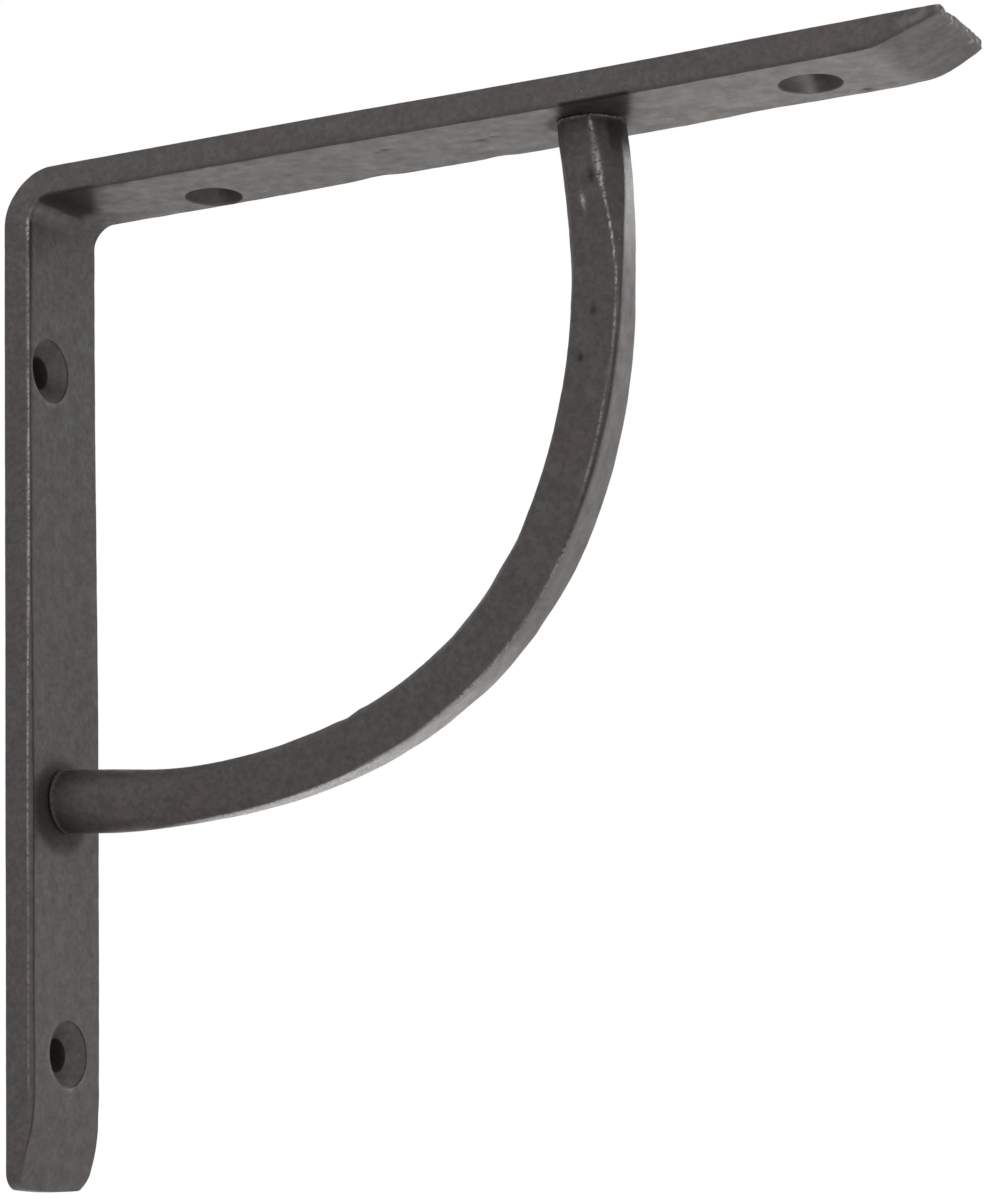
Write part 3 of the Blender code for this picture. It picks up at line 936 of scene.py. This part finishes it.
def brace_wear_and_highlight(at):
    """Bright metal and painted highlights: a painted glint and bright line along the near arris, partly
    rubbed iron, the lap line, the collars, bare iron and a painted reflection on parts of the outer flat,
    and one scar.
    """
    # Painted highlight: a glint near the top and a bright line along the near arris, partly rubbed iron
    glint = bump(at.run, 146.5 * MM, 4.5 * MM)
    uneven = 0.6 + 0.6 * lumps_along(at.run, 4 * MM, 31)
    arris = bump(at.from_arris, 0, (0.09 + 0.42 * glint) * MM) * ease(at.run, 94 * MM, 104 * MM)
    arris = arris * np.clip(uneven, 0.2, 1) * (0.5 + 0.5 * ease(at.run, 126 * MM, 140 * MM))
    arris = arris * ease(at.left, 0.6 * MM, 1.5 * MM)
    lap = 0.4 * bump(at.from_strip, 0.15 * MM, 0.14 * MM) * uneven
    lap = lap * ease(at.run, 56 * MM, 64 * MM) * ease(at.run, 98 * MM, 90 * MM)
    # Bare iron and a painted reflection on the outer flat, low down and near the top
    lower_part = ease(at.run, 16 * MM, 28 * MM) * ease(at.run, 66 * MM, 46 * MM)
    upper_end = ease(at.run, 134 * MM, 146 * MM) * ease(at.left, 3 * MM, 7 * MM)
    bare_and_sheen = at.strip * (0.5 * lower_part + 0.3 * upper_end)
    scar = 0.5 * bump(at.run, 140.4 * MM, MM) * bump(at.from_arris, 3.5 * MM, 0.35 * MM)
    return np.maximum.reduce((arris, lap, 0.35 * at.rings, bare_and_sheen, scar))


def brace_soot_and_shade(at, points):
    """Painted shade on the wedge facet, in the crease by the outer flat, high up by the shelf leg and at
    both ends; soot in the pits, and a slight darkening off the outer flat.
    """
    # Painted shade on the wedge facet between the near arris and the outer flat
    wedge = ease(at.from_arris, 0.1 * MM, -0.3 * MM) * ease(at.from_strip, 0, 0.3 * MM)
    wedge = wedge * ease(at.run, 94 * MM, 104 * MM) * (0.24 + 0.16 * lumps_along(at.run, 5 * MM, 32))
    # Painted shade in the crease beside the outer flat
    crease = 0.6 * bump(at.from_strip, 0.25 * MM, 0.22 * MM) * ease(at.run, 84 * MM, 92 * MM)
    # Painted shade high on the brace, between the near arris and the outer flat, by the shelf leg
    shade = 0.2 * ease(at.from_arris, -0.3 * MM, -0.8 * MM) + 0.5 * ease(at.from_arris, -2 * MM, -3 * MM)
    shade = shade * ease(at.left, 10 * MM, 3 * MM)
    # Painted shade round both ends, darker on the outer and inner sides than on the near and far sides
    ends = 0.55 * np.maximum(bump(at.run, 0, 5.5 * MM), bump(at.left, 0, 3.5 * MM))
    ends = ends * (1 - 0.7 * at.rings) * (0.6 + 0.4 * ease(np.abs(np.abs(at.turn) - 1.5), 0.3, 0.9))
    smut = np.zeros(len(at.run))
    for out, degrees, along, wide, _ in np.array(BRACE_PITS) * BRACE_BLOW_UNITS:
        off = round_from(at.turn, degrees)
        smut = np.maximum(smut, bump(at.run, out, along * 0.7) * bump(off, 0, wide * 0.6))
    smut = 0.75 * smut * ease(lumps(points, 0.7 * MM, 34), -0.8, 0.1)
    return np.maximum.reduce((crease, wedge, shade, ends, smut, 0.06 * (1 - at.strip)))


def brace_dressing_and_sheen(at):
    """Paler iron and a painted reflection on the outer flat, brightest low down and high up."""
    pale_and_sheen = 0.26 + 0.7 * ease(at.run, 126 * MM, 142 * MM) + 0.7 * ease(at.run, 84 * MM, 62 * MM)
    return pale_and_sheen * at.strip * ease(at.run, 14 * MM, 32 * MM) * ease(at.left, 3 * MM, 7 * MM)


# Materials

def add_node(tree, kind, inputs=(), output=0, **settings):
    """Adds one node and gives back one of its outputs.

    The inputs are plain values or sockets, in order or by their names or numbers.
    """
    node = tree.nodes.new(kind)
    for name, value in settings.items():
        setattr(node, name, value)
    for key, value in inputs.items() if isinstance(inputs, dict) else enumerate(inputs):
        if isinstance(value, bpy.types.NodeSocket):
            tree.links.new(value, node.inputs[key])
        else:
            node.inputs[key].default_value = value
    return node.outputs[output]


def waxed_iron(name, iron):
    """Forged iron, blackened in the fire and waxed.

    The eye sees near-black scale with a satin gloss, mottled warm and cool over a centimetre,
    fine grit, streaks along the bar, and bare metal where hands and tools rubbed the arrises.
    The soot, dressed and bare colours also paint light and shade: painted shade in hollows and round
    the joints, painted reflections on pale faces and painted highlights on the arrises.
    """
    material = bpy.data.materials.new(name)
    material.use_nodes = True
    tree = material.node_tree
    shader = tree.nodes["Principled BSDF"]
    add = partial(add_node, tree)

    place = add("ShaderNodeTexCoord", output="Object")
    grain = add("ShaderNodeAttribute", output="Vector", attribute_name="grain")
    wear_and_highlight, soot_and_shade, dressed_and_sheen = (
        add("ShaderNodeAttribute", output="Fac", attribute_name=stored)
        for stored in ("wear_and_highlight", "soot_and_shade", "dressed_and_sheen"))
    patches, mottle, speckle, grit = (
        add("ShaderNodeTexNoise", {"Vector": place, "Scale": 1 / size, "Detail": detail, "Roughness": rough})
        for size, detail, rough in SCALE_PATTERNS)
    stretched = add(
        "ShaderNodeMapping", {"Vector": grain, "Scale": tuple(1 / size for size in STREAK_SIZE)})
    streaks = add(
        "ShaderNodeTexNoise", {"Vector": stretched, "Scale": 1.0, "Detail": 3.0, "Roughness": 0.6})

    # How much each colour covers those before it. A range goes from low to high, then its new low and high
    warmth = add("ShaderNodeMapRange", (patches, 0.4, 0.62))
    clouds = add("ShaderNodeMapRange", (mottle, 0.35, 0.65))
    dark_grain = add("ShaderNodeMapRange", (speckle, 0.4, 0.62, 0.0, 0.5))
    drawn = add("ShaderNodeMapRange", (streaks, 0.3, 0.7, 0.86, 1.0))
    dulled = add("ShaderNodeMapRange", (mottle, 0.3, 0.65, 1.0, 0.75))
    streaked = add("ShaderNodeMath", (drawn, dulled), operation="MULTIPLY")
    pale = add("ShaderNodeMath", (dressed_and_sheen, streaked), operation="MULTIPLY")
    thinned = add("ShaderNodeMapRange", (mottle, 0.25, 0.6, 1.0, 0.75))
    dark = add("ShaderNodeMath", (soot_and_shade, thinned), operation="MULTIPLY")
    broken = add("ShaderNodeMapRange", (grit, 0.36, 0.56))
    rubbed = add("ShaderNodeMath", (wear_and_highlight, broken), operation="MULTIPLY")
    rubbed = add("ShaderNodeMath", (rubbed, iron.wear_and_highlight), operation="MULTIPLY")
    specks = add("ShaderNodeMapRange", (grit, 0.74, 0.8, 0.0, 0.35))
    rubbed = add("ShaderNodeMath", (rubbed, specks), operation="MAXIMUM")
    # The dark layer is soot and painted shade, the pale layer dressed iron and painted sheen, the rubbed
    # layer bare iron and painted highlights
    layers = (
        (warmth, iron.warm_colour), (clouds, iron.scale_colour), (dark_grain, iron.speckle_colour),
        (pale, iron.dressed_and_sheen_colour), (dark, iron.soot_and_shade_colour), (rubbed, iron.bare_and_highlight_colour))
    colour = iron.cool_colour
    for share, over in layers:
        colour = add("ShaderNodeMix", {0: share, 6: colour, 7: over}, 2, data_type="RGBA")
    tree.links.new(colour, shader.inputs["Base Color"])

    # Soot and painted shade are rougher than the scale, and dressed iron and painted sheen smoother
    gloss = add("ShaderNodeMapRange", (mottle, 0.3, 0.7, iron.roughness - 0.07, iron.roughness + 0.09))
    gloss = add("ShaderNodeMath", (soot_and_shade, 0.25, gloss), operation="MULTIPLY_ADD")
    gloss = add("ShaderNodeMath", (dressed_and_sheen, -0.08, gloss), operation="MULTIPLY_ADD")
    tree.links.new(gloss, shader.inputs["Roughness"])

    # Bare iron, painted highlights, dressed iron and painted sheen are metal, and soot and painted shade are
    # so dark that only a metal keeps them from a grey sheen
    metal = 0.0
    for amount, least, most in ((rubbed, 0.22, 0.95), (dressed_and_sheen, 0.22, 0.7), (soot_and_shade, 0.0, 0.85)):
        share = add("ShaderNodeMapRange", (amount, 0.0, 1.0, least, most))
        metal = add("ShaderNodeMath", (metal, share), operation="MAXIMUM")
    tree.links.new(metal, shader.inputs["Metallic"])

    height = 0.0
    for pattern, share in ((mottle, 0.6), (grit, 0.3), (streaks, 0.1), (speckle, 0.4)):
        height = add("ShaderNodeMath", (pattern, share, height), operation="MULTIPLY_ADD")
    raised = add("ShaderNodeBump", {"Strength": 0.6, "Distance": RELIEF, "Height": height})
    tree.links.new(raised, shader.inputs["Normal"])
    return material


def matte(name, colour, roughness):
    """A plain unpolished surface."""
    material = bpy.data.materials.new(name)
    material.use_nodes = True
    shader = material.node_tree.nodes["Principled BSDF"]
    shader.inputs["Base Color"].default_value = colour
    shader.inputs["Roughness"].default_value = roughness
    return material


def finish_piece(thing, node, material):
    """Gives a finished piece its material and smooth shading, and puts it in the place of its node."""
    deselect_all()
    thing.select_set(True)
    bpy.context.view_layer.objects.active = thing
    bpy.ops.object.shade_smooth_by_angle(angle=math.radians(32))
    thing.data.materials.clear()
    thing.data.materials.append(material)
    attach(thing, "root")
    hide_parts(node)


# Operators

class BRACKET_OT_bar(bpy.types.Operator):
    """Models the flat bar: wall leg, corner and shelf leg, with four screw holes"""
    bl_idname = "bracket.add_bar"
    bl_label = "Flat Bar"

    def execute(self, context):
        bar = context.scene.bracket_bar
        blank = add_bar_blank(bar)
        hammer_bar(blank, bar)
        drill_bar(blank, bar)
        mark_bar(blank, bar)
        material = waxed_iron("waxed_wrought_iron_bar", context.scene.bracket_iron)
        finish_piece(blank, "bent_bar", material)
        return {"FINISHED"}


class BRACKET_OT_brace(bpy.types.Operator):
    """Models the curved brace: round stock with hammered flats"""
    bl_idname = "bracket.add_brace"
    bl_label = "Curved Brace"

    def execute(self, context):
        brace = context.scene.bracket_brace
        blank = add_brace_blank(brace)
        run, turn, level = hammer_brace(blank, brace)
        mark_brace(blank, brace, run, turn, level)
        material = waxed_iron("waxed_wrought_iron_brace", context.scene.bracket_iron)
        finish_piece(blank, "curved_brace", material)
        return {"FINISHED"}


class BRACKET_OT_studio(bpy.types.Operator):
    """Sets up the pale floor, the white surroundings, a soft light and the camera"""
    bl_idname = "bracket.add_studio"
    bl_label = "Studio"

    def execute(self, context):
        studio = context.scene.bracket_studio
        add_floor(studio)
        add_light(context, studio)
        add_camera(context)
        return {"FINISHED"}


def add_floor(studio):
    """A wide pale floor under the bracket."""
    deselect_all()
    bpy.ops.mesh.primitive_plane_add(size=FLOOR_SIZE, location=(0, 0, FLOOR_Z))
    floor = bpy.context.object
    floor.name = "pale_floor"
    floor.data.materials.append(matte("pale_paper", studio.floor_colour, 0.9))


def add_light(context, studio):
    """White surroundings that light the bracket from all round, and a soft light on the right."""
    world = bpy.data.worlds.new("white_studio")
    world.use_nodes = True
    back = world.node_tree.nodes["Background"]
    back.inputs["Color"].default_value = studio.backdrop_colour
    back.inputs["Strength"].default_value = studio.brightness
    context.scene.world = world
    context.scene.view_settings.view_transform = "Standard"
    deselect_all()
    bpy.ops.object.light_add(type="AREA", location=LAMP_PLACE)
    lamp = bpy.context.object
    lamp.name = "right_light"
    lamp.data.energy = studio.side_light
    lamp.data.size = LAMP_SIZE
    lamp.rotation_mode = "QUATERNION"
    lamp.rotation_quaternion = (VIEW_TARGET - lamp.location).to_track_quat("-Z", "Y")


def add_camera(context):
    """A camera at the photograph's place, looking slightly up from below."""
    deselect_all()
    bpy.ops.object.camera_add()
    camera = bpy.context.object
    camera.name = "photo_camera"
    level = math.cos(VIEW_ELEVATION)
    back = Vector((
        math.sin(VIEW_AZIMUTH) * level, -math.cos(VIEW_AZIMUTH) * level, math.sin(VIEW_ELEVATION)))
    camera.location = VIEW_TARGET + VIEW_DISTANCE * back
    camera.rotation_mode = "QUATERNION"
    camera.rotation_quaternion = (-back).to_track_quat("-Z", "Y") @ Quaternion((0, 0, 1), VIEW_ROLL)
    camera.data.sensor_width = VIEW_SENSOR
    camera.data.lens = VIEW_LENS
    context.scene.camera = camera


class BRACKET_PT_panel(bpy.types.Panel):
    """Lists the bracket's pieces and settings in the sidebar"""
    bl_idname = "BRACKET_PT_panel"
    bl_label = "Forged Shelf Bracket"
    bl_space_type = "VIEW_3D"
    bl_region_type = "UI"
    bl_category = "Bracket"

    def draw(self, context):
        rows = (
            ("bracket.add_bar", context.scene.bracket_bar),
            ("bracket.add_brace", context.scene.bracket_brace),
            ("bracket.add_studio", context.scene.bracket_studio),
        )
        for operator, settings in rows:
            box = self.layout.box()
            box.operator(operator)
            for name in settings.__annotations__:
                box.prop(settings, name)
        box = self.layout.box()
        for name in IronSettings.__annotations__:
            box.prop(context.scene.bracket_iron, name)


SETTINGS = {
    "bracket_bar": BarSettings,
    "bracket_brace": BraceSettings,
    "bracket_iron": IronSettings,
    "bracket_studio": StudioSettings,
}
OPERATORS = (BRACKET_OT_bar, BRACKET_OT_brace, BRACKET_OT_studio)


def register():
    """Registers the settings, the operators and the panel."""
    for name, settings in SETTINGS.items():
        bpy.utils.register_class(settings)
        setattr(bpy.types.Scene, name, bpy.props.PointerProperty(type=settings))
    for part in OPERATORS + (BRACKET_PT_panel,):
        bpy.utils.register_class(part)


def unregister():
    """Takes them away again."""
    for part in (BRACKET_PT_panel,) + OPERATORS[::-1]:
        bpy.utils.unregister_class(part)
    for name, settings in SETTINGS.items():
        delattr(bpy.types.Scene, name)
        bpy.utils.unregister_class(settings)


def main():
    """Models the bracket in its studio."""
    register()
    bpy.ops.bracket.add_bar()
    bpy.ops.bracket.add_brace()
    bpy.ops.bracket.add_studio()


if __name__ == "__main__":
    main()
